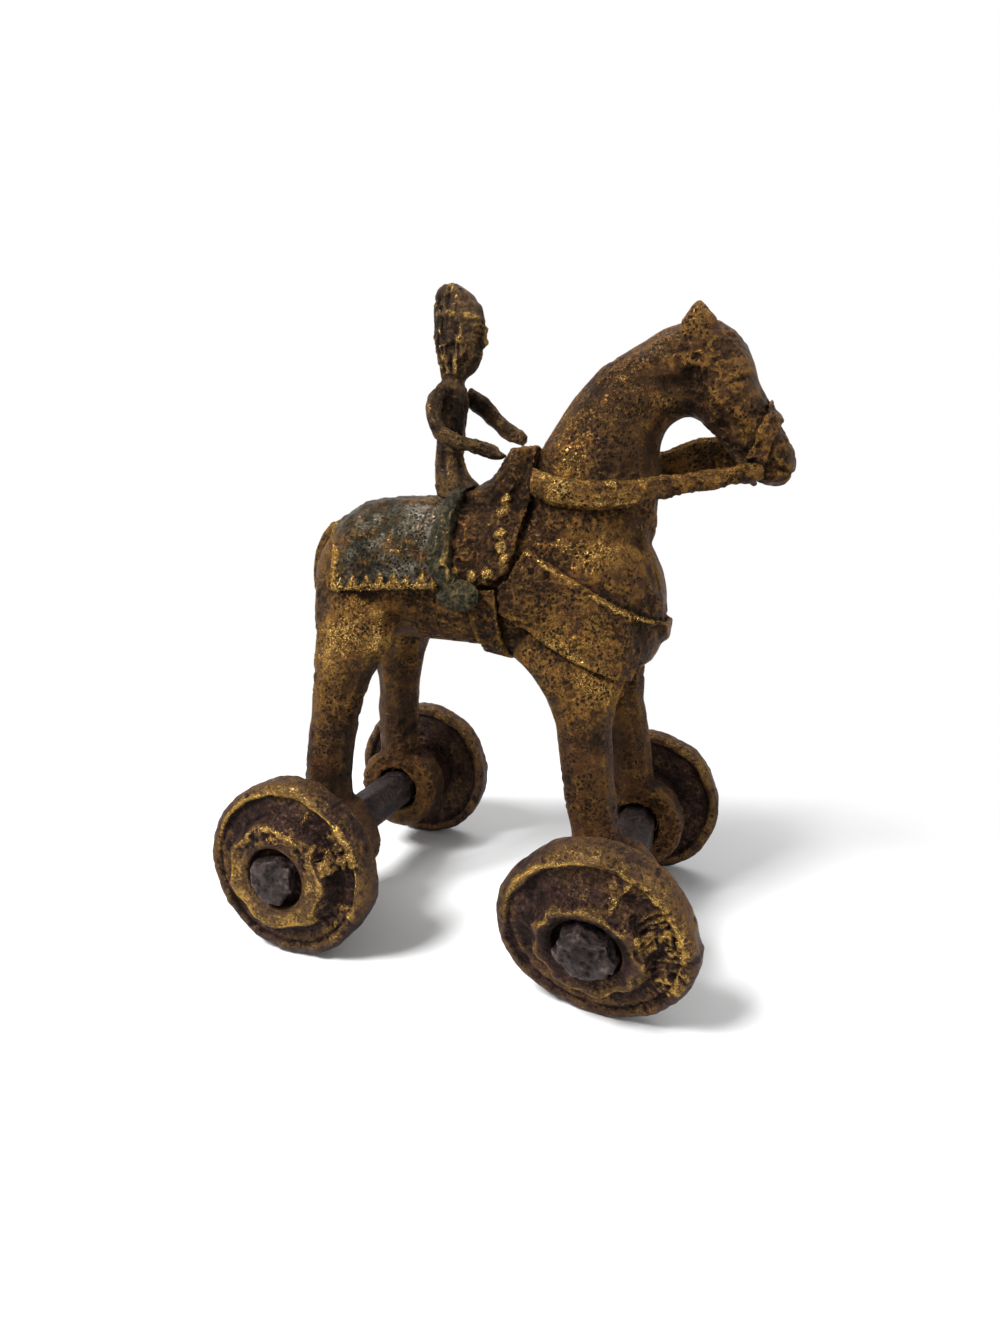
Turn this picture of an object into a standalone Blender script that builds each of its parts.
"""Cast brass horse with a rider, standing on four brass wheels on two iron axles.

A pull-along toy made by the lost-wax method. The horse, its tack and its rider were built up
in wax from separate rolled and pressed pieces. Two forged iron bars run loosely through eyes
at the foot of each pair of legs. A wheel turns on each end of a bar, inside a peened head.

Numbers are millimetres. +X is the way the horse faces, +Y its left side, +Z up. The frame's
origin is on the ground under the middle of the whole toy. Shapes are written from the middle
of the wheelbase, and an empty carries them all to their place in the frame.
"""

import math

import bmesh
import bpy
from mathutils import Matrix, Vector

MM = 0.001

# Running gear
FRONT_WHEEL_DIAMETER = 40.8
REAR_WHEEL_DIAMETER = 42.0
WHEELBASE = 70.3
WHEEL_TRACK = 70.5
WHEELBASE_CENTRE_X = -4.6
RIM_WIDTH = 6.8
RIM_HEIGHT = 3.2
RIM_ROUNDING = 2.2
RIM_BACK_ROUNDING = 1.0
FIELD_THICKNESS = 4.4
FRONT_HUB_DIAMETER = 22.4
REAR_HUB_DIAMETER = 25.6
FRONT_HUB_LIP = 1.2
REAR_HUB_LIP = 4.0
HUB_DISH = 1.8
HUB_FLARE = 1.4
HUB_PETALS = 8
HUB_PETAL_DEPTH = 0.5
HUB_OUTER_REACH = 7.2
HUB_INNER_REACH = 8.2
HUB_INNER_DIAMETER = 18.0
COUNTERBORE_DIAMETER = 14.2
COUNTERBORE_DEPTH = 3.6
JOURNAL_DIAMETER = 7.6
JOURNAL_CLEARANCE = 0.4
HEAD_DIAMETER = 12.8
HEAD_PROUD = 1.8
END_FLOAT = 0.6
BAR_ACROSS_FLATS = 10.4
BAR_CHAMFER_LENGTH = 1.2
BAR_WORN_DIAMETER = 9.8
COLLAR_LENGTH = 1.6
BENT_END_DROOP = 13.0
BENT_END_SWEEP = -4.0

# Axle eyes at the feet of the legs
EYE_DIAMETER = 24.0
EYE_BORE_DIAMETER = 12.8
EYE_THICKNESS = 10.0
HUB_TO_EYE = 2.55
EYE_ROUNDING = 1.4

# Trunk
BACK_HEIGHT = 103.6
BELLY_HEIGHT = 69.6
TRUNK_WIDTH = 30.6
RUMP_X = -46.3
CHEST_X = 41.6

# Neck and head
NECK_ROOT_X = 26.0
NECK_REACH = 39.6
NECK_RISE = 35.4
NECK_WIDTH = 23.0
HEAD_WIDTH = 15.2
EAR_SPREAD = 9.2
EAR_HEIGHT = 3.0

# Legs
HIP_INSET = 0.5
HIND_LEG_WIDTH = 13.0
FORE_LEG_WIDTH = 10.6
LEG_THICKNESS = 10.0
LEFT_FORE_LEG_BOW = 2.8
LEFT_HIND_LEG_BOW = 0.4

# Tack
SEAM = 0.35
CLOTH_THICKNESS = 1.3
CLOTH_DROP_SHARE = 0.635
CLOTH_HEM_RISE = 2.2
CLOTH_REAR_X = -40.0
CLOTH_REAR_CURVE = 6.0
SADDLE_REAR_X = -7.1
SADDLE_FRONT_X = 12.5
SADDLE_DROP_SHARE = 0.56
SADDLE_THICKNESS = 1.9
POMMEL_RISE = 11.8
POMMEL_WIDTH = 13.2
GIRTH_WIDTH = 6.3
GIRTH_X = 3.8
STRAP_THICKNESS = 1.3
BREAST_STRAP_WIDTH = 16.5
NOSEBAND_WIDTH = 3.6
NOSEBAND_THICKNESS = 1.1
REIN_HEIGHT = 6.2
REIN_THICKNESS = 2.8
TAIL_WIDTH = 5.6
TAIL_DROP_SHARE = 0.75

# Rider
RIDER_X = -9.0
RIDER_HEIGHT = 49.2
RIDER_SHOULDER_WIDTH = 10.4
RIDER_HEAD_WIDTH = 9.4
ARM_THICKNESS = 3.5
LEG_ROUND = 4.8
FOOT_LENGTH = 10.6
FOOT_HEIGHT = 7.2
FOOT_THICKNESS = 3.8

# Facets
TRUNK_SIDES = 18
NECK_SIDES = 16
LEG_SIDES = 10
LIMB_SIDES = 8
WHEEL_SIDES = 32
ROUND_SIDES = 18
SPINDLE_SIDES = 14

# Worked out from the sizes above
REAR_AXLE_X = -WHEELBASE / 2
FRONT_AXLE_X = WHEELBASE / 2
AXLE_HEIGHTS = {REAR_AXLE_X: REAR_WHEEL_DIAMETER / 2, FRONT_AXLE_X: FRONT_WHEEL_DIAMETER / 2}
TRUNK_DEPTH = BACK_HEIGHT - BELLY_HEIGHT
CLOTH_HEM_HEIGHT = BACK_HEIGHT - CLOTH_DROP_SHARE * TRUNK_DEPTH
SADDLE_HEM_HEIGHT = BACK_HEIGHT - SADDLE_DROP_SHARE * TRUNK_DEPTH
TRUNK_LENGTH = CHEST_X - RUMP_X
HIP_Y = TRUNK_WIDTH / 2 - 0.68 * LEG_THICKNESS - HIP_INSET
HUB_BORE_DIAMETER = JOURNAL_DIAMETER + 2 * JOURNAL_CLEARANCE
HUB_INNER_FACE_Y = WHEEL_TRACK / 2 - HUB_INNER_REACH
EYE_OUTER_Y = HUB_INNER_FACE_Y - HUB_TO_EYE
EYE_INNER_Y = EYE_OUTER_Y - EYE_THICKNESS
EYE_CENTRE_Y = (EYE_OUTER_Y + EYE_INNER_Y) / 2
BAR_HALF_LENGTH = HUB_INNER_FACE_Y - END_FLOAT
COUNTERBORE_FLOOR = HUB_OUTER_REACH - COUNTERBORE_DEPTH
HEAD_INNER_Y = WHEEL_TRACK / 2 + COUNTERBORE_FLOOR + END_FLOAT
HEAD_OUTER_Y = WHEEL_TRACK / 2 + HUB_OUTER_REACH + HEAD_PROUD

# Colours of the metals
COLOURS = {
    "horse_brass": ((0.30, 0.19, 0.07), 0.42, 1.0),
    "tack_brass": ((0.38, 0.25, 0.09), 0.40, 1.0),
    "cloth_brass": ((0.17, 0.16, 0.11), 0.60, 0.8),
    "rider_brass": ((0.20, 0.13, 0.07), 0.46, 1.0),
    "wheel_brass": ((0.34, 0.22, 0.08), 0.38, 1.0),
    "axle_iron": ((0.10, 0.09, 0.09), 0.62, 1.0),
}


def clear_scene():
    for thing in list(bpy.data.objects):
        bpy.data.objects.remove(thing, do_unlink=True)


def metal(slot):
    """The material of one slot, made the first time it is asked for."""
    found = bpy.data.materials.get(slot)
    if found:
        return found
    colour, roughness, metallic = COLOURS[slot]
    made = bpy.data.materials.new(slot)
    made.use_nodes = True
    shader = made.node_tree.nodes["Principled BSDF"]
    shader.inputs["Base Color"].default_value = (*colour, 1.0)
    shader.inputs["Roughness"].default_value = roughness
    shader.inputs["Metallic"].default_value = metallic
    return made


def solid(name, points, faces):
    """An object from points in millimetres, with its faces turned outwards."""
    mesh = bpy.data.meshes.new(name)
    mesh.from_pydata([Vector(p) * MM for p in points], [], faces)
    work = bmesh.new()
    work.from_mesh(mesh)
    bmesh.ops.recalc_face_normals(work, faces=work.faces)
    work.to_mesh(mesh)
    work.free()
    made = bpy.data.objects.new(name, mesh)
    bpy.context.scene.collection.objects.link(made)
    return made


def stack_rings(name, rings):
    """Join rings of equal length into one skin with flat ends."""
    sides = len(rings[0])
    points = [p for ring in rings for p in ring]
    faces = []
    for row in range(len(rings) - 1):
        for k in range(sides):
            a = row * sides + k
            b = row * sides + (k + 1) % sides
            faces.append((a, b, b + sides, a + sides))
    faces.append(tuple(reversed(range(sides))))
    faces.append(tuple(range(len(points) - sides, len(points))))
    return solid(name, points, faces)


def smooth_rows(rows, steps):
    """Pass a smooth curve through rows of numbers, with some steps between each two."""
    out = []
    for i in range(len(rows) - 1):
        before = rows[max(i - 1, 0)]
        start, end = rows[i], rows[i + 1]
        after = rows[min(i + 2, len(rows) - 1)]
        for s in range(steps):
            t = s / steps
            out.append([
                0.5 * (2 * b + (c - a) * t + (2 * a - 5 * b + 4 * c - d) * t * t
                       + (3 * b - a - 3 * c + d) * t ** 3)
                for a, b, c, d in zip(before, start, end, after)
            ])
    out.append(list(rows[-1]))
    return out


def section_loft(name, stations, sides, steps, grow=0.0):
    """A form of oval sections. Each station gives the section's upper and lower point in side
    view, its half width and how far its middle stands to the side. grow swells it all round."""
    rows = smooth_rows(stations, steps)
    rings = []
    middles = [Vector(((r[0] + r[2]) / 2, r[5], (r[1] + r[3]) / 2)) for r in rows]
    for i, (ax, az, bx, bz, half_width, side) in enumerate(rows):
        middle = middles[i]
        reach = Vector(((ax - bx) / 2, 0.0, (az - bz) / 2))
        reach = reach.normalized() * (reach.length + grow)
        across = Vector((0.0, half_width + grow, 0.0))
        shift = Vector()
        if grow and i == 0:
            shift = (middles[0] - middles[1]).normalized() * grow
        if grow and i == len(rows) - 1:
            shift = (middles[-1] - middles[-2]).normalized() * grow
        ring = []
        for k in range(sides):
            turn = 2 * math.pi * k / sides
            ring.append(middle + shift + reach * math.cos(turn) + across * math.sin(turn))
        rings.append(ring)
    return stack_rings(name, rings)


def limb(name, path, sides, steps, across=(0.0, 1.0, 0.0)):
    """A rolled wax limb. Each row of the path is x, y, z and two radii: the second lies along
    the across direction, the first at right angles to it and to the limb."""
    rows = smooth_rows(path, steps)
    centres = [Vector(r[:3]) for r in rows]
    rings = []
    for i, row in enumerate(rows):
        ahead = centres[min(i + 1, len(rows) - 1)]
        behind = centres[max(i - 1, 0)]
        along = (ahead - behind).normalized()
        wide = Vector(across)
        wide = (wide - along * along.dot(wide)).normalized()
        deep = along.cross(wide)
        ring = []
        for k in range(sides):
            turn = 2 * math.pi * k / sides
            ring.append(centres[i] + deep * row[3] * math.cos(turn)
                        + wide * row[4] * math.sin(turn))
        rings.append(ring)
    return stack_rings(name, rings)


def turned(name, profile, sides, petal_rows=()):
    """A ring or disc turned about the Y axis. The profile is a closed loop of radius and y.
    Rows named in petal_rows are scalloped into petals. A radius of 0 closes on the axis."""
    points = []
    starts = []
    for row, (radius, y) in enumerate(profile):
        starts.append(len(points))
        if radius == 0.0:
            points.append((0.0, y, 0.0))
            continue
        for k in range(sides):
            turn = 2 * math.pi * k / sides
            bulge = HUB_PETAL_DEPTH * math.cos(HUB_PETALS * turn) if row in petal_rows else 0.0
            r = radius + bulge
            points.append((r * math.cos(turn), y, r * math.sin(turn)))
    faces = []
    for row in range(len(profile)):
        after = (row + 1) % len(profile)
        here_flat = profile[row][0] == 0.0
        next_flat = profile[after][0] == 0.0
        if here_flat and next_flat:
            continue
        for k in range(sides):
            m = (k + 1) % sides
            a, b = starts[row] + k, starts[row] + m
            c, d = starts[after] + m, starts[after] + k
            if here_flat:
                faces.append((starts[row], c, d))
            elif next_flat:
                faces.append((a, b, starts[after]))
            else:
                faces.append((a, b, c, d))
    return solid(name, points, faces)


def side_prism(name, outline, half_width):
    """A block with the given outline in side view, as wide as wanted on both sides."""
    rings = [[(x, y, z) for x, z in outline] for y in (-half_width, half_width)]
    return stack_rings(name, rings)


def plan_prism(name, outline, low, high):
    """A block with the given outline seen from above."""
    rings = [[(x, y, z) for x, y in outline] for z in (low, high)]
    return stack_rings(name, rings)


def drop(thing):
    mesh = thing.data
    bpy.data.objects.remove(thing, do_unlink=True)
    bpy.data.meshes.remove(mesh)


def combine(target, operation, tools):
    """Cut, join or intersect the target with each tool in turn, then delete the tools."""
    for tool in tools:
        step = target.modifiers.new(operation.lower(), "BOOLEAN")
        step.operation = operation
        step.solver = "EXACT"
        step.object = tool
    graph = bpy.context.evaluated_depsgraph_get()
    result = bpy.data.meshes.new_from_object(target.evaluated_get(graph))
    old = target.data
    target.modifiers.clear()
    target.data = result
    bpy.data.meshes.remove(old)
    for tool in tools:
        drop(tool)
    return target


def trunk_stations():
    """Sections of the trunk from rump to chest, as shares of its length, depth and width."""
    shares = [
        (0.000, 0.46, 0.31, 0.26),
        (0.020, 0.36, 0.17, 0.50),
        (0.066, 0.205, 0.056, 0.76),
        (0.163, 0.038, 0.00, 0.97),
        (0.265, 0.003, 0.006, 1.00),
        (0.400, 0.00, 0.006, 0.96),
        (0.527, 0.02, -0.024, 0.96),
        (0.652, 0.00, -0.09, 0.98),
        (0.777, 0.02, -0.12, 0.98),
        (0.879, 0.10, -0.10, 0.90),
        (0.953, 0.27, -0.05, 0.70),
        (0.985, 0.43, 0.050, 0.48),
        (1.000, 0.56, 0.16, 0.26),
    ]
    return [
        (RUMP_X + along * TRUNK_LENGTH, BACK_HEIGHT - top * TRUNK_DEPTH,
         RUMP_X + along * TRUNK_LENGTH, BELLY_HEIGHT + bottom * TRUNK_DEPTH,
         width * TRUNK_WIDTH / 2, 0.0)
        for along, top, bottom, width in shares
    ]


def neck_stations():
    """Sections from the neck's root in the trunk to the muzzle. The crest and the throat are
    shares of the neck's reach and rise, measured from its root on the line of the back."""
    shares = [
        (-0.455, 0.011, 0.202, -0.667, 0.54, "neck"),
        (-0.343, 0.328, 0.308, -0.215, 0.49, "neck"),
        (-0.227, 0.528, 0.328, 0.068, 0.41, "neck"),
        (-0.086, 0.715, 0.318, 0.250, 0.35, "neck"),
        (0.071, 0.847, 0.333, 0.385, 0.325, "neck"),
        (0.235, 0.938, 0.396, 0.458, 0.31, "neck"),
        (0.399, 1.000, 0.478, 0.475, 0.47, "head"),
        (0.582, 1.006, 0.571, 0.398, 0.50, "head"),
        (0.736, 0.855, 0.646, 0.311, 0.48, "head"),
        (0.803, 0.684, 0.707, 0.226, 0.43, "head"),
        (0.859, 0.537, 0.783, 0.141, 0.39, "head"),
        (0.936, 0.398, 0.848, 0.090, 0.36, "head"),
        (1.004, 0.262, 0.914, 0.073, 0.30, "head"),
        (1.016, 0.172, 0.968, 0.094, 0.17, "head"),
    ]
    width_of = {"neck": NECK_WIDTH, "head": HEAD_WIDTH}
    return [
        (NECK_ROOT_X + ax * NECK_REACH, BACK_HEIGHT + az * NECK_RISE,
         NECK_ROOT_X + bx * NECK_REACH, BACK_HEIGHT + bz * NECK_RISE,
         half * width_of[part], 0.0)
        for ax, az, bx, bz, half, part in shares
    ]


def head_point(along, down):
    """A point in side view, in shares of the neck's reach and rise from its root."""
    return NECK_ROOT_X + along * NECK_REACH, BACK_HEIGHT + down * NECK_RISE


def leg_stations(axle_x, shares, width, side, bow=0.0):
    """Sections of a leg from its eye up into the trunk. A share gives the height as a part of
    the leg's length, the rear and front edges from the axle in leg widths, how far the middle
    has come out from hip to eye, and the thickness. bow pushes the shank forwards."""
    rows = []
    low = AXLE_HEIGHTS[axle_x]
    for up, rear, front, out, thick in shares:
        z = low + up * (BELLY_HEIGHT - low)
        y = side * (HIP_Y + out * (EYE_CENTRE_Y - HIP_Y))
        x = axle_x + bow * math.sin(math.pi * min(up, 1.0))
        rows.append((x + rear * width, z, x + front * width, z, thick * LEG_THICKNESS / 2, y))
    return rows


HIND_LEG_SHARES = [
    (0.05, -0.50, 0.50, 1.00, 0.96),
    (0.20, -0.52, 0.46, 0.96, 0.98),
    (0.33, -0.51, 0.41, 0.90, 1.00),
    (0.64, -0.42, 0.51, 0.73, 1.04),
    (0.84, -0.42, 0.75, 0.55, 1.12),
    (0.99, -0.49, 1.09, 0.35, 1.26),
    (1.16, -0.60, 1.16, 0.15, 1.36),
    (1.38, -0.55, 0.95, 0.00, 1.30),
]

FORE_LEG_SHARES = [
    (0.05, -0.62, 0.54, 1.00, 0.96),
    (0.17, -0.84, 0.32, 0.96, 0.98),
    (0.32, -0.95, 0.11, 0.90, 0.98),
    (0.50, -1.14, -0.03, 0.80, 1.00),
    (0.71, -1.33, -0.14, 0.64, 1.06),
    (0.82, -1.58, -0.07, 0.53, 1.12),
    (0.91, -1.96, 0.03, 0.42, 1.20),
    (0.99, -2.42, 0.13, 0.30, 1.26),
    (1.12, -2.20, 0.22, 0.12, 1.36),
    (1.30, -1.90, 0.15, 0.00, 1.30),
]


def eye_disc(axle_x, side, grow):
    half = EYE_THICKNESS / 2 + grow
    radius = EYE_DIAMETER / 2 + grow
    profile = [
        (0.0, -half),
        (radius - EYE_ROUNDING, -half),
        (radius, -half + EYE_ROUNDING),
        (radius, half - EYE_ROUNDING),
        (radius - EYE_ROUNDING, half),
        (0.0, half),
    ]
    disc = turned("eye", profile, ROUND_SIDES)
    disc.data.transform(Matrix.Translation(
        Vector((axle_x, side * EYE_CENTRE_Y, AXLE_HEIGHTS[axle_x])) * MM))
    return disc


def ear(side, grow):
    """A pinched cone standing on the poll."""
    rear_x, base_z = head_point(0.390, 0.86)
    front_x, poll_z = head_point(0.595, 1.0)
    top = poll_z + EAR_HEIGHT
    lean = -0.2
    y = side * EAR_SPREAD / 2
    middle = (rear_x + front_x) / 2 + lean
    stations = [
        (rear_x, base_z, front_x, base_z, 2.2, y),
        (rear_x + 0.8, base_z + 0.55 * (top - base_z), front_x - 0.6,
         base_z + 0.55 * (top - base_z), 2.0, y),
        (middle - 1.5, base_z + 0.86 * (top - base_z), middle + 1.6,
         base_z + 0.86 * (top - base_z), 1.3, y),
        (middle - 0.6, top, middle + 0.7, top, 0.5, y),
    ]
    return section_loft("ear", stations, LIMB_SIDES, 1, grow)


def horse_form(name, grow=0.0, feet=True):
    """The whole horse as one skin, swollen all round by grow."""
    horse = section_loft(name, trunk_stations(), TRUNK_SIDES, 2, grow)
    parts = [section_loft("neck", neck_stations(), NECK_SIDES, 2, grow)]
    for side in (-1, 1):
        parts.append(ear(side, grow))
        bow = LEFT_HIND_LEG_BOW if side > 0 else 0.0
        parts.append(section_loft(
            "hind_leg", leg_stations(REAR_AXLE_X, HIND_LEG_SHARES, HIND_LEG_WIDTH, side, bow),
            LEG_SIDES, 1, grow))
        bow = LEFT_FORE_LEG_BOW if side > 0 else 0.0
        parts.append(section_loft(
            "fore_leg", leg_stations(FRONT_AXLE_X, FORE_LEG_SHARES, FORE_LEG_WIDTH, side, bow),
            LEG_SIDES, 1, grow))
        if feet:
            parts.append(eye_disc(REAR_AXLE_X, side, grow))
            parts.append(eye_disc(FRONT_AXLE_X, side, grow))
    return combine(horse, "UNION", parts)


def make_horse_body():
    horse = horse_form("horse_body")
    bores = []
    for axle_x in (REAR_AXLE_X, FRONT_AXLE_X):
        reach = EYE_OUTER_Y + 2.0
        radius = EYE_BORE_DIAMETER / 2
        bore = turned("bore", [(0.0, -reach), (radius, -reach), (radius, reach), (0.0, reach)],
                      ROUND_SIDES)
        place = Vector((axle_x, 0.0, AXLE_HEIGHTS[axle_x]))
        half_step = Matrix.Rotation(math.pi / ROUND_SIDES, 4, "Y")
        bore.data.transform(Matrix.Translation(place * MM) @ half_step)
        bores.append(bore)
    return combine(horse, "DIFFERENCE", bores)


def shell(name, region, thickness, extra=()):
    """The swollen horse inside a region."""
    piece = horse_form(name, thickness, feet=False)
    if extra:
        combine(piece, "UNION", list(extra))
    return combine(piece, "INTERSECT", [region])


def worn(name, region, thickness, extra=()):
    """A piece of tack laid on the horse: a shell less the horse and its seam."""
    piece = shell(name, region, thickness, extra)
    return combine(piece, "DIFFERENCE", [horse_form("seat", SEAM, feet=False)])


def cloth_region(margin=0.0):
    """The cloth's rear edge curves forwards down the flanks. Its hem rises to the front."""
    half = TRUNK_WIDTH
    outline = []
    for k in range(-6, 7):
        y = k / 6 * half
        fall = CLOTH_REAR_CURVE * min(abs(y) / (TRUNK_WIDTH / 2), 1.0) ** 2
        outline.append((CLOTH_REAR_X - margin + fall, y))
    front = SADDLE_REAR_X - SEAM + 0.9 * margin
    outline += [(front, half), (front, -half)]
    high = BACK_HEIGHT + TRUNK_DEPTH
    region = plan_prism("region", outline, BELLY_HEIGHT, high)
    low = CLOTH_HEM_HEIGHT - margin
    hem = [(CLOTH_REAR_X - 5.0, low), (SADDLE_REAR_X + 5.0, low + CLOTH_HEM_RISE),
           (SADDLE_REAR_X + 5.0, high - 1.0), (CLOTH_REAR_X - 5.0, high - 1.0)]
    return combine(region, "INTERSECT", [side_prism("hem", hem, TRUNK_WIDTH - 1.0)])


def make_saddle_cloth():
    return worn("saddle_cloth", cloth_region(), CLOTH_THICKNESS)


def saddle_top():
    """The dished seat and the raised pommel in front of it."""
    half = POMMEL_WIDTH / 2
    rear, front = SADDLE_REAR_X - 0.4, SADDLE_FRONT_X + 0.4
    length = front - rear
    stations = [
        (rear, BACK_HEIGHT - 3.0, front, BACK_HEIGHT - 3.0, half + 2.6, 0.0),
        (rear, BACK_HEIGHT + 1.2, front, BACK_HEIGHT + 1.2, half + 1.6, 0.0),
        (rear + 0.10 * length, BACK_HEIGHT + 2.2, front, BACK_HEIGHT + 2.2, half + 1.4, 0.0),
        (rear + 0.38 * length, BACK_HEIGHT + 0.37 * POMMEL_RISE, front,
         BACK_HEIGHT + 0.37 * POMMEL_RISE, half + 0.8, 0.0),
        (rear + 0.53 * length, BACK_HEIGHT + 0.73 * POMMEL_RISE, front,
         BACK_HEIGHT + 0.73 * POMMEL_RISE, half, 0.0),
        (rear + 0.63 * length, BACK_HEIGHT + 0.94 * POMMEL_RISE, front,
         BACK_HEIGHT + 0.94 * POMMEL_RISE, 0.8 * half, 0.0),
        (rear + 0.70 * length, BACK_HEIGHT + POMMEL_RISE, front - 0.4,
         BACK_HEIGHT + POMMEL_RISE, 0.55 * half, 0.0),
    ]
    return section_loft("saddle_top", stations, NECK_SIDES, 1)


def saddle_region(margin=0.0):
    """The flaps hang from the seat, with a rounded lower front corner."""
    high = BACK_HEIGHT + POMMEL_RISE - 0.2 + margin
    low = SADDLE_HEM_HEIGHT - margin
    rear = SADDLE_REAR_X - 0.9 * margin
    front = SADDLE_FRONT_X + margin
    drop_height = BACK_HEIGHT - low
    length = front - rear
    corner = [(0.62, 0.0), (0.33, 0.053), (0.163, 0.18), (0.08, 0.38), (0.06, 0.66), (0.0, 1.0)]
    outline = [(rear, low)]
    outline += [(front - back * length, low + up * drop_height) for back, up in corner]
    outline += [(front, high), (rear, high)]
    return side_prism("region", outline, TRUNK_WIDTH)


def make_saddle():
    return worn("saddle", saddle_region(), SADDLE_THICKNESS, [saddle_top()])


def girth_region(margin=0.0):
    half = GIRTH_WIDTH / 2 + 1.2 * margin
    low = BELLY_HEIGHT - 0.3 * TRUNK_DEPTH
    top = SADDLE_HEM_HEIGHT - SEAM + 2 * margin
    outline = [(GIRTH_X - half, low), (GIRTH_X + half, low),
               (GIRTH_X + half, top), (GIRTH_X - half - 0.8, top)]
    return side_prism("region", outline, TRUNK_WIDTH)


def make_girth():
    return worn("girth_strap", girth_region(), STRAP_THICKNESS)


def make_breast_strap():
    """The broad collar that slopes down from the saddle to the chest. Its outline follows the
    girth, the saddle's corner and, in shares of the trunk's depth, the belly."""
    rear = GIRTH_X + GIRTH_WIDTH / 2 + SEAM
    corner = SADDLE_FRONT_X + SEAM
    top = SADDLE_HEM_HEIGHT
    rise = BACK_HEIGHT - top
    knee = CHEST_X - BREAST_STRAP_WIDTH / 2
    low = BELLY_HEIGHT - 0.094 * TRUNK_DEPTH
    tip = BELLY_HEIGHT - 0.2 * TRUNK_DEPTH
    outline = [
        (rear, BELLY_HEIGHT + 0.276 * TRUNK_DEPTH),
        (rear + 0.17 * (knee - rear), BELLY_HEIGHT + 0.188 * TRUNK_DEPTH),
        (knee, low),
        (CHEST_X + 0.37 * BREAST_STRAP_WIDTH, tip),
        (CHEST_X + 0.48 * BREAST_STRAP_WIDTH, tip + 0.70 * BREAST_STRAP_WIDTH),
        (knee, low + 0.92 * BREAST_STRAP_WIDTH),
        (corner + 0.2, top + 0.47 * rise),
        (corner - 1.0, top + 0.36 * rise),
        (corner - 2.8, top + 0.14 * rise),
        (corner - 6.0, top - 0.01 * rise),
        (rear, top - 0.03 * rise),
    ]
    return worn("breast_strap", side_prism("region", outline, TRUNK_WIDTH), STRAP_THICKNESS)


def noseband_line():
    """The band's middle line in side view, from under the jaw to over the nose."""
    return Vector(head_point(0.752, 0.01)), Vector(head_point(0.932, 0.60))


def noseband_region(margin=0.0):
    low, high = noseband_line()
    along = (high - low).normalized()
    low = low - along * margin
    high = high + along * margin
    across = Vector((along.y, -along.x)) * (NOSEBAND_WIDTH / 2 + margin)
    outline = [tuple(low - across), tuple(low + across), tuple(high + across),
               tuple(high - across)]
    return side_prism("region", outline, TRUNK_WIDTH)


def make_noseband():
    return worn("noseband", noseband_region(), NOSEBAND_THICKNESS)


def make_tail():
    """A flat strip laid down the rump. Each row gives x from the rump, how far down the tail,
    and its height and width as shares of the full width."""
    half = TAIL_WIDTH / 2
    length = TAIL_DROP_SHARE * TRUNK_DEPTH
    cloth_gap = CLOTH_REAR_X - SEAM - 1.6 - RUMP_X
    rows = [(cloth_gap, 0.25, 0.60, 0.70), (0.5 * cloth_gap, 0.36, 0.70, 0.90),
            (0.2, 0.53, 0.75, 1.00), (-0.8, 0.71, 0.80, 1.00),
            (-0.8, 0.87, 0.75, 0.90), (0.2, 1.00, 0.40, 0.50)]
    path = [(RUMP_X + x, 0.0, BACK_HEIGHT - down * length, tall * half, wide * half)
            for x, down, tall, wide in rows]
    tail = limb("tail", path, LIMB_SIDES, 2)
    return combine(tail, "DIFFERENCE", [horse_form("seat", SEAM, feet=False)])


def make_rein(name, side, line):
    """A heavy bar along the side of the neck, then free in the air to the mouth, where it lies
    against the muzzle and the noseband. Each row of the line gives x as a share of the neck's
    reach, the height above the back, how far out it stands in half neck widths, and its height
    and thickness as shares of the full bar."""
    path = []
    for along, up, out, tall, thin in line:
        x, z = head_point(along, up)
        path.append((x, side * out * NECK_WIDTH / 2, z, tall * REIN_HEIGHT / 2,
                     thin * REIN_THICKNESS / 2))
    rein = limb(name, path, LIMB_SIDES, 1)
    high = BACK_HEIGHT + TRUNK_DEPTH
    start = SADDLE_FRONT_X + SEAM
    behind = side_prism("behind", [(RIDER_X, BELLY_HEIGHT), (start, BELLY_HEIGHT),
                                   (start, high), (RIDER_X, high)], TRUNK_WIDTH)
    band = shell("band", noseband_region(SEAM), NOSEBAND_THICKNESS + SEAM)
    seat = combine(horse_form("seat", SEAM, feet=False), "UNION", [band])
    return combine(rein, "DIFFERENCE", [behind, seat])


RIGHT_REIN_LINE = [
    (-0.390, 0.130, 0.82, 0.90, 1.30),
    (-0.180, 0.040, 1.03, 1.00, 1.20),
    (0.025, 0.018, 1.07, 0.98, 1.05),
    (0.190, 0.024, 1.03, 0.94, 1.00),
    (0.325, 0.052, 0.93, 0.82, 1.00),
    (0.530, 0.088, 0.76, 0.64, 1.00),
    (0.690, 0.126, 0.67, 0.62, 1.05),
    (0.790, 0.136, 0.60, 0.66, 1.10),
    (0.852, 0.148, 0.55, 0.42, 0.72),
]

LEFT_REIN_LINE = [
    (-0.390, 0.130, 0.82, 0.90, 1.30),
    (-0.180, 0.096, 1.03, 1.00, 1.20),
    (0.025, 0.118, 1.05, 1.00, 1.05),
    (0.190, 0.160, 1.00, 1.12, 1.00),
    (0.325, 0.212, 0.93, 1.26, 1.00),
    (0.518, 0.262, 0.78, 1.52, 1.10),
    (0.640, 0.250, 0.64, 1.62, 1.30),
    (0.740, 0.220, 0.52, 1.40, 1.30),
    (0.800, 0.190, 0.46, 0.90, 0.80),
]


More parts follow.
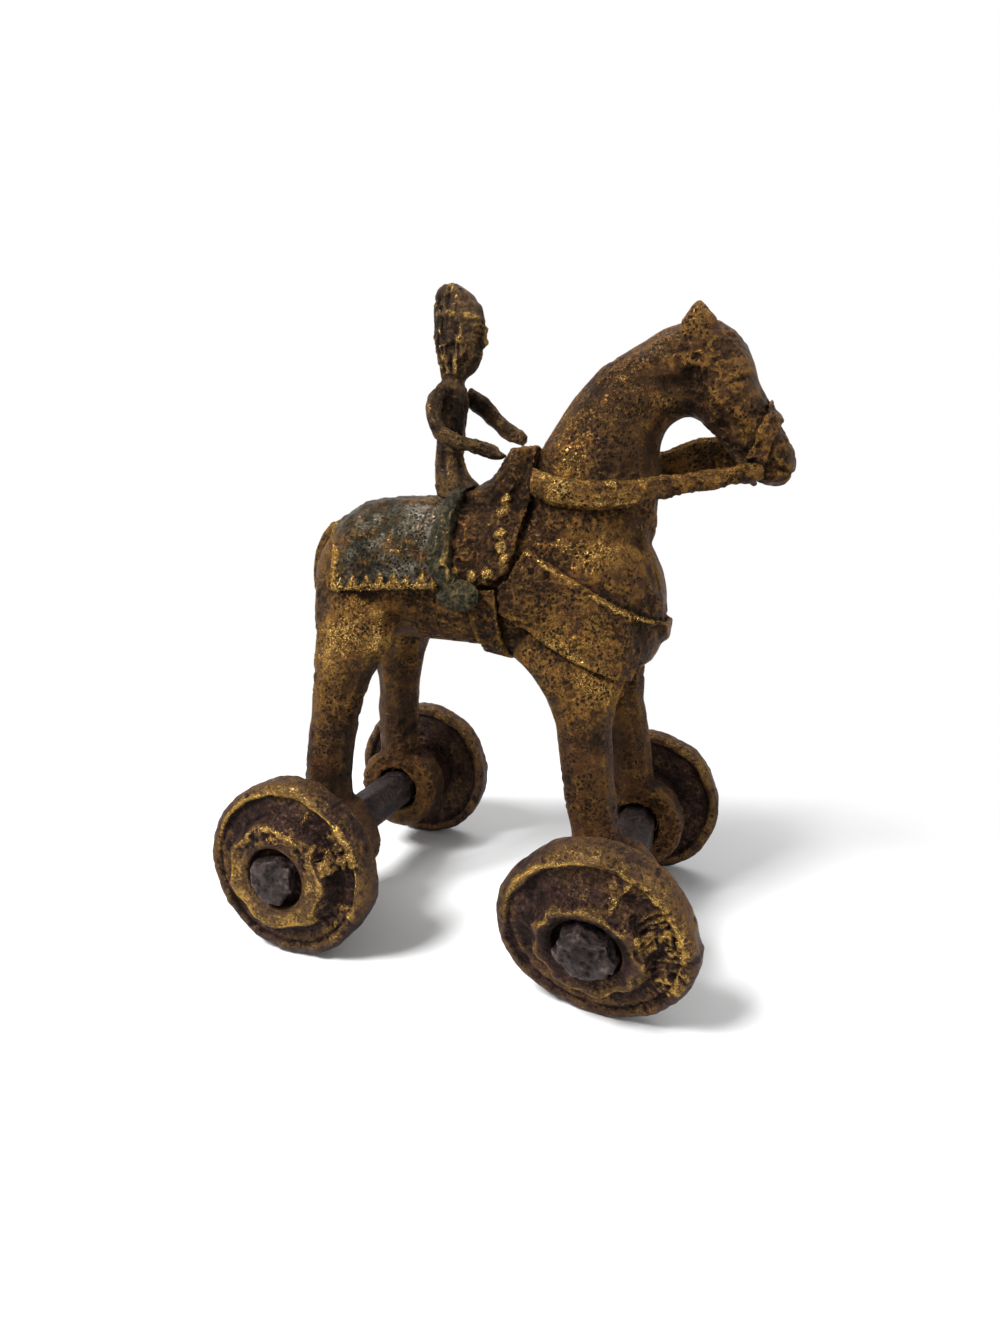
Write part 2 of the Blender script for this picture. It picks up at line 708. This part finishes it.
def tack_form():
    """What the rider sits on: horse, cloth, saddle and girth, each swollen by one seam."""
    top = saddle_top()
    top.data.transform(Matrix.Translation(Vector((0.0, 0.0, SEAM)) * MM))
    parts = [
        shell("cloth", cloth_region(SEAM), CLOTH_THICKNESS + SEAM),
        shell("saddle", saddle_region(SEAM), SADDLE_THICKNESS + SEAM, [top]),
        shell("girth", girth_region(SEAM), STRAP_THICKNESS + SEAM),
    ]
    return combine(horse_form("tack", SEAM, feet=False), "UNION", parts)


def twin(form):
    """A second object with its own copy of a form's mesh, to cut with."""
    made = bpy.data.objects.new(form.name, form.data.copy())
    bpy.context.scene.collection.objects.link(made)
    return made


def rider_form(name, grow=0.0):
    """A narrow body that widens to the seat, with a tall head and a knot of hair."""
    low = BACK_HEIGHT - 1.5
    rise = RIDER_HEIGHT
    half = RIDER_SHOULDER_WIDTH / 2
    face = RIDER_HEAD_WIDTH / 2
    shares = [
        (-0.022, -4.8, 8.0, 1.00 * half),
        (0.059, -4.8, 7.4, 1.00 * half),
        (0.110, -4.9, 5.2, 0.92 * half),
        (0.161, -4.9, 2.6, 0.83 * half),
        (0.232, -4.8, 1.7, 0.69 * half),
        (0.364, -4.4, 2.0, 0.75 * half),
        (0.486, -4.6, 2.5, 1.00 * half),
        (0.547, -3.8, 2.2, 0.92 * half),
        (0.583, -3.3, 2.2, 0.54 * half),
        (0.616, -3.6, 4.4, 0.62 * face),
        (0.669, -4.3, 6.2, 0.83 * face),
        (0.750, -4.9, 6.9, 0.98 * face),
        (0.852, -5.1, 7.2, 1.00 * face),
        (0.925, -4.9, 5.8, 0.89 * face),
        (0.970, -4.3, 3.2, 0.68 * face),
        (1.000, -2.6, 0.8, 0.34 * face),
    ]
    stations = [(RIDER_X + back, low + up * rise, RIDER_X + front, low + up * rise, w, 0.0)
                for up, back, front, w in shares]
    return section_loft(name, stations, LEG_SIDES, 2, grow)


def make_rider_body(tack):
    return combine(rider_form("rider_body"), "DIFFERENCE", [twin(tack)])


RIGHT_ARM_LINE = [
    (-0.016, 0.88, 0.496, 1.05),
    (-0.045, 1.31, 0.455, 1.05),
    (-0.039, 1.58, 0.366, 1.00),
    (-0.008, 1.62, 0.301, 1.00),
    (0.069, 1.50, 0.260, 1.00),
    (0.154, 1.31, 0.236, 1.00),
    (0.236, 1.08, 0.211, 0.90),
    (0.293, 0.88, 0.181, 0.20),
]

LEFT_ARM_LINE = [
    (0.020, 0.85, 0.500, 1.25),
    (0.081, 1.23, 0.455, 1.28),
    (0.146, 1.42, 0.390, 1.20),
    (0.207, 1.42, 0.341, 1.12),
    (0.272, 1.35, 0.303, 1.05),
    (0.305, 1.31, 0.283, 0.80),
]


def make_rider_arm(name, side, line, tack):
    """A flat strap of wax from the shoulder round the elbow to the hand. Each row of the line
    gives x from the rider's middle and the height above the back as shares of the rider's
    height, how far out in half shoulder widths, and the thickness as a share."""
    r = ARM_THICKNESS / 2
    path = [(RIDER_X + x * RIDER_HEIGHT, side * out * RIDER_SHOULDER_WIDTH / 2,
             BACK_HEIGHT + up * RIDER_HEIGHT, share * r, 0.8 * share * r)
            for x, out, up, share in line]
    arm = limb(name, path, LIMB_SIDES, 2)
    return combine(arm, "DIFFERENCE", [twin(tack), rider_form("rider", SEAM)])


def pebble(name, centre, radii):
    """A smooth flattened lump."""
    lump = bmesh.new()
    bmesh.ops.create_uvsphere(lump, u_segments=10, v_segments=7, radius=MM)
    mesh = bpy.data.meshes.new(name)
    lump.to_mesh(mesh)
    lump.free()
    mesh.transform(Matrix.Translation(Vector(centre) * MM) @ Matrix.Diagonal((*radii, 1.0)))
    made = bpy.data.objects.new(name, mesh)
    bpy.context.scene.collection.objects.link(made)
    return made


LEG_LINE = [
    (0.12, 0.20, 0.047, 0.95, 0.90),
    (0.15, 0.56, -0.006, 0.90, 0.85),
    (0.14, 0.84, -0.135, 0.90, 0.95),
    (0.12, 1.02, -0.270, 0.88, 1.12),
    (0.12, 1.09, -0.382, 0.84, 1.10),
    (0.19, 1.12, -0.482, 0.78, 1.00),
    (0.30, 1.12, -0.576, 0.66, 0.90),
]


def make_rider_leg(name, side, tack):
    """A leg that hangs over the saddle and ends in a round flat foot. Each row of its line
    gives x from the rider's middle in leg lengths, how far out in half trunk widths, the
    height above the back in trunk depths, and its half thickness and half width as shares."""
    r = LEG_ROUND / 2
    flank = TRUNK_WIDTH / 2
    length = SADDLE_DROP_SHARE * TRUNK_DEPTH + 2.0
    path = [(RIDER_X + x * length, side * out * flank, BACK_HEIGHT + up * TRUNK_DEPTH,
             r * thick, r * wide) for x, out, up, thick, wide in LEG_LINE]
    leg = limb(name, path, LIMB_SIDES, 1, (1.0, 0.0, 0.0))
    foot = pebble("foot", (RIDER_X + 0.36 * length, side * 1.10 * flank,
                           BACK_HEIGHT - 0.62 * TRUNK_DEPTH),
                  (FOOT_LENGTH / 2, FOOT_THICKNESS / 2, FOOT_HEIGHT / 2))
    combine(leg, "UNION", [foot])
    return combine(leg, "DIFFERENCE", [twin(tack), rider_form("rider", SEAM)])


def make_wheel(name, radius, hub_diameter, lip):
    """A cast wheel, its outer face towards +Y: a thick rounded rim and a field that slopes up
    to a scalloped hub boss. Inside its lip the boss is dished down to a counterbore for the
    axle's head."""
    rim = radius
    half = RIM_WIDTH / 2
    field = FIELD_THICKNESS / 2
    hub = hub_diameter / 2
    inner_hub = HUB_INNER_DIAMETER / 2
    bore = HUB_BORE_DIAMETER / 2
    well = COUNTERBORE_DIAMETER / 2
    arc = RIM_ROUNDING * (1.0 - math.sqrt(0.5))
    crown = hub - HUB_FLARE
    dish = HUB_DISH * (crown - lip - well) / (crown - well)
    profile = [
        (bore, -HUB_INNER_REACH),
        (inner_hub, -HUB_INNER_REACH),
        (inner_hub + 0.8, -field),
        (rim - RIM_HEIGHT, -field),
        (rim - RIM_HEIGHT + 0.8, -half),
        (rim - 0.9 * RIM_BACK_ROUNDING, -half),
        (rim, -half + RIM_BACK_ROUNDING),
        (rim, half - RIM_ROUNDING),
        (rim - arc, half - arc),
        (rim - RIM_ROUNDING, half),
        (rim - RIM_HEIGHT, field),
        (hub + HUB_FLARE, field + 0.3 * HUB_FLARE),
        (hub - 0.2 * HUB_FLARE, HUB_OUTER_REACH - HUB_FLARE),
        (crown, HUB_OUTER_REACH),
        (crown - lip, HUB_OUTER_REACH - 0.1),
        (well, HUB_OUTER_REACH - 0.1 - dish),
        (well, COUNTERBORE_FLOOR),
        (bore, COUNTERBORE_FLOOR),
    ]
    petals = [12, 13]
    return turned(name, profile, WHEEL_SIDES, petals)


def forged_bar(name, right_length, left_length):
    """A bar along Y with eight forged flats. It has worn round from the two eyes outwards, and
    its ends slope down to the journals."""
    flat = BAR_ACROSS_FLATS / 2
    worn_flat = BAR_WORN_DIAMETER / 2
    narrow = JOURNAL_DIAMETER / 2 + 0.2
    middle = EYE_INNER_Y - SEAM
    rows = []
    for length in (left_length, right_length):
        rows.append([(middle, flat), (middle + 0.3, worn_flat),
                     (length - BAR_CHAMFER_LENGTH, worn_flat), (length, narrow)])
    left = rows[0]
    right = [(-y, size) for y, size in rows[1]]
    rings = []
    for y, size in right[::-1] + left:
        corner = size / math.cos(math.pi / 8)
        turns = [2 * math.pi * (k + 0.5) / 8 for k in range(8)]
        rings.append([(corner * math.cos(t), y, corner * math.sin(t)) for t in turns])
    return stack_rings(name, rings)


def make_spindle(side):
    """A collar, a journal and a peened head on one end of a bar, towards +Y or -Y."""
    journal = JOURNAL_DIAMETER / 2
    collar = HUB_BORE_DIAMETER / 2 + 0.4
    head = HEAD_DIAMETER / 2
    profile = [
        (0.0, BAR_HALF_LENGTH - COLLAR_LENGTH),
        (collar, BAR_HALF_LENGTH - COLLAR_LENGTH),
        (collar, BAR_HALF_LENGTH),
        (journal, BAR_HALF_LENGTH),
        (journal, HEAD_INNER_Y),
        (head - 0.6, HEAD_INNER_Y),
        (head, HEAD_INNER_Y + 0.6),
        (head, HEAD_OUTER_Y - 1.6),
        (head - 1.6, HEAD_OUTER_Y),
        (0.0, HEAD_OUTER_Y),
    ]
    return turned("spindle", [(r, side * y) for r, y in profile], SPINDLE_SIDES)


def end_bend(bent):
    """How the right end of an axle is bent, as a turn about the middle of its wheel."""
    droop, sweep = (BENT_END_DROOP, BENT_END_SWEEP) if bent else (0.0, 0.0)
    return Matrix.Rotation(math.radians(sweep), 4, "Z") @ Matrix.Rotation(
        math.radians(droop), 4, "X")


def make_axle(name, bent):
    """A forged bar with a spindle at each end. The right end may be bent down by use."""
    shorter = (BAR_ACROSS_FLATS / 2) * math.sin(math.radians(BENT_END_DROOP)) if bent else 0.0
    bar = forged_bar(name, BAR_HALF_LENGTH - shorter, BAR_HALF_LENGTH)
    left = make_spindle(1)
    right = make_spindle(-1)
    middle = Matrix.Translation(Vector((0.0, -WHEEL_TRACK / 2, 0.0)) * MM)
    right.data.transform(middle @ end_bend(bent) @ middle.inverted())
    return combine(bar, "UNION", [left, right])


def dress(thing, slot, smooth_angle=35.0):
    """Give a finished piece its metal and smooth shading."""
    thing.data.materials.clear()
    thing.data.materials.append(metal(slot))
    thing.data.shade_smooth()
    thing.data.set_sharp_from_angle(angle=math.radians(smooth_angle))
    return thing


def empty(name, x, y, z, parent=None):
    made = bpy.data.objects.new(name, None)
    made.location = Vector((x, y, z)) * MM
    made.parent = parent
    bpy.context.scene.collection.objects.link(made)
    return made


def main():
    clear_scene()
    toy = empty("toy_frame", WHEELBASE_CENTRE_X, 0.0, 0.0)

    tack = tack_form()
    fixed = [
        dress(make_horse_body(), "horse_brass"),
        dress(make_tail(), "horse_brass"),
        dress(make_saddle_cloth(), "cloth_brass"),
        dress(make_saddle(), "tack_brass"),
        dress(make_girth(), "tack_brass"),
        dress(make_breast_strap(), "tack_brass"),
        dress(make_noseband(), "tack_brass"),
        dress(make_rein("rein_right", -1, RIGHT_REIN_LINE), "tack_brass"),
        dress(make_rein("rein_left", 1, LEFT_REIN_LINE), "tack_brass"),
        dress(make_rider_body(tack), "rider_brass"),
        dress(make_rider_arm("rider_arm_right", -1, RIGHT_ARM_LINE, tack), "rider_brass"),
        dress(make_rider_arm("rider_arm_left", 1, LEFT_ARM_LINE, tack), "rider_brass"),
        dress(make_rider_leg("rider_leg_right", -1, tack), "rider_brass"),
        dress(make_rider_leg("rider_leg_left", 1, tack), "rider_brass"),
    ]
    drop(tack)
    for piece in fixed:
        piece.parent = toy

    gear = (("front", FRONT_AXLE_X, FRONT_HUB_DIAMETER, FRONT_HUB_LIP, True),
            ("rear", REAR_AXLE_X, REAR_HUB_DIAMETER, REAR_HUB_LIP, False))
    for end, axle_x, hub_diameter, lip, bent in gear:
        height = AXLE_HEIGHTS[axle_x]
        pivot = empty(end + "_axle_line", axle_x, 0.0, height, toy)
        axle = dress(make_axle(end + "_axle", bent), "axle_iron")
        axle.parent = pivot
        for hand, side in (("left", 1), ("right", -1)):
            droop = math.radians(BENT_END_DROOP) if bent and side < 0 else 0.0
            edge = RIM_WIDTH / 2 - RIM_ROUNDING
            radius = (height - edge * math.sin(droop)) / math.cos(droop)
            name = "wheel_" + end + "_" + hand
            wheel = dress(make_wheel(name, radius, hub_diameter, lip), "wheel_brass")
            turn = Matrix.Rotation(0.0 if side > 0 else math.pi, 4, "Z")
            if side < 0:
                turn = end_bend(bent) @ turn
            wheel.parent = pivot
            wheel.location = Vector((0.0, side * WHEEL_TRACK / 2, 0.0)) * MM
            wheel.rotation_euler = turn.to_euler()
    bpy.context.view_layer.update()


main()
